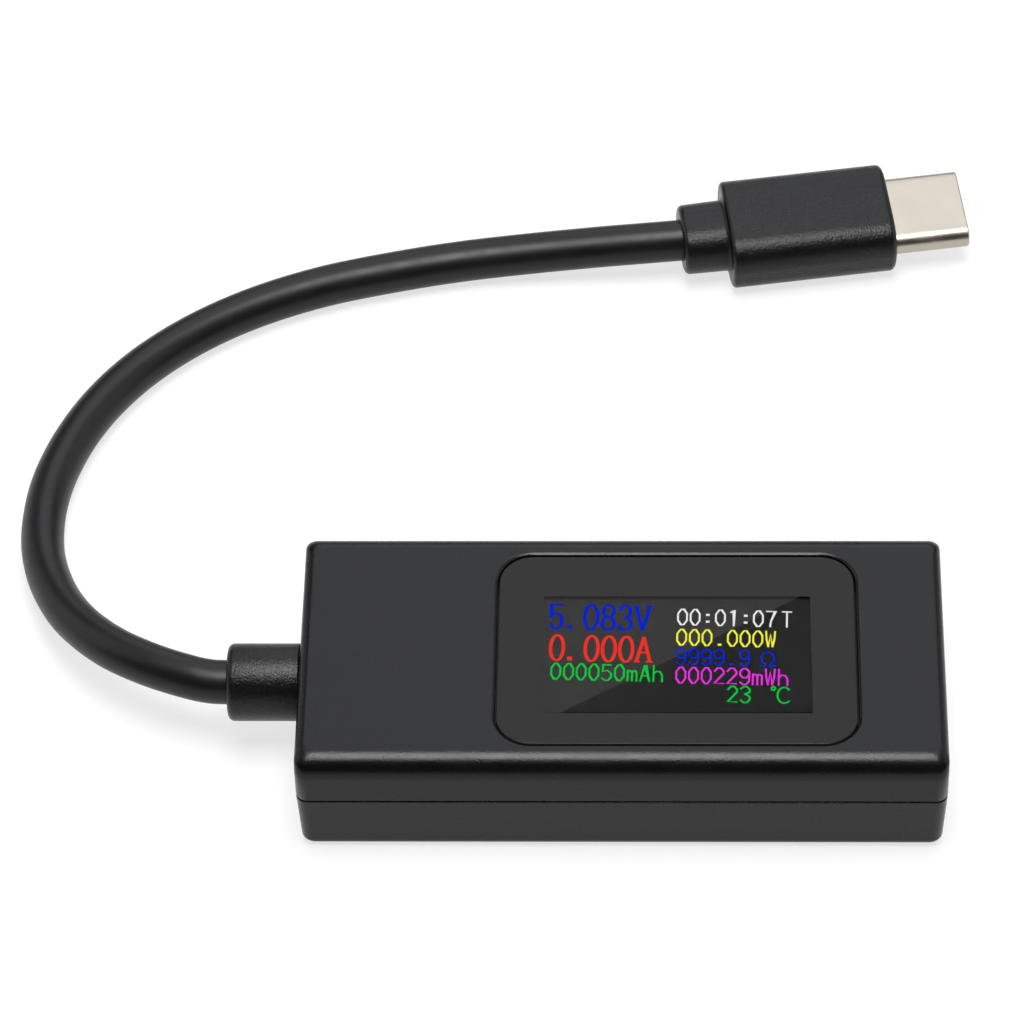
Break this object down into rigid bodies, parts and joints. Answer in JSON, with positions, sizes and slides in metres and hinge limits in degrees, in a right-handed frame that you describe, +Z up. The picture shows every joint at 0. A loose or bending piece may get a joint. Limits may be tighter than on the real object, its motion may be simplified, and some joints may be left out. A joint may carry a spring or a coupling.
{
  "type": "usb power meter",
  "caption": "Inline USB-C power meter: flat black two-shell case with a colour display under a dark window, a side button, an end socket and a short captive lead with a plug.",
  "frame": {"origin": "centre of the case's underside, on the surface it rests on", "axes": "+X along the case's length towards the socket end, +Y towards the button side, +Z up out of the display"},
  "size_m": [0.0873, 0.0787, 0.0113],
  "materials": {
    "case_plastic": "fine-grained satin black ABS",
    "window_lens": "smooth dark tinted acrylic with a printed border",
    "adhesive_tape": "black double-sided tape",
    "display_glass": "dark polariser over a colour display",
    "backlight_tray": "white moulded tray",
    "flex_circuit": "amber polyimide ribbon",
    "black_foam": "soft foam",
    "circuit_board": "green solder mask",
    "chip_epoxy": "moulded epoxy",
    "resistor_metal": "lacquered metal strip",
    "ferrite": "pressed ferrite",
    "ceramic_body": "ceramic with tinned ends",
    "socket_nickel": "satin nickel-plated steel",
    "plug_nickel": "satin nickel-plated steel, warm grey",
    "connector_black": "black liquid-crystal polymer",
    "contact_gold": "gold flash",
    "grained_rubber": "coarse spark-eroded grain, satin",
    "cord_jacket": "smooth matt PVC",
    "wire_white": "PVC insulation",
    "wire_green": "PVC insulation",
    "wire_red": "PVC insulation",
    "wire_blue": "PVC insulation",
    "wire_black": "PVC insulation"
  },
  "bodies": {
    "meter": {"top_shell": "case_plastic", "bottom_shell": "case_plastic", "display_window": "window_lens", "window_adhesive": "adhesive_tape", "lcd_panel": "display_glass", "lcd_backlight": "backlight_tray", "lcd_flex": "flex_circuit", "foam_pad": "black_foam", "main_board": "circuit_board", "plug_board": "circuit_board", "microcontroller": "chip_epoxy", "memory_chip": "chip_epoxy", "voltage_regulator": "chip_epoxy", "input_switch_chip": "chip_epoxy", "switch_body": "chip_epoxy", "shunt_resistor": "resistor_metal", "inductor": "ferrite", "crystal": "socket_nickel", "input_capacitor": "ceramic_body", "output_capacitor": "ceramic_body", "temperature_sensor": "ceramic_body", "receptacle_shell": "socket_nickel", "receptacle_housing": "connector_black", "receptacle_contacts_upper": "contact_gold", "receptacle_contacts_lower": "contact_gold", "strain_relief": "grained_rubber", "cord": "cord_jacket", "wire_white": "wire_white", "wire_green": "wire_green", "wire_red": "wire_red", "wire_blue": "wire_blue", "wire_black": "wire_black", "plug_overmold": "grained_rubber", "plug_shell": "plug_nickel", "plug_insulator": "connector_black", "plug_contacts_upper": "contact_gold", "plug_contacts_lower": "contact_gold"},
    "button": {"button_cap": "case_plastic", "switch_plunger": "connector_black"}
  },
  "joints": [
    {"name": "button_press", "type": "slide", "parent": "meter", "child": "button", "axis": [0, -1, 0], "range_m": [0, 0.0003], "stiffness_N_per_m": 4000}
  ]
}
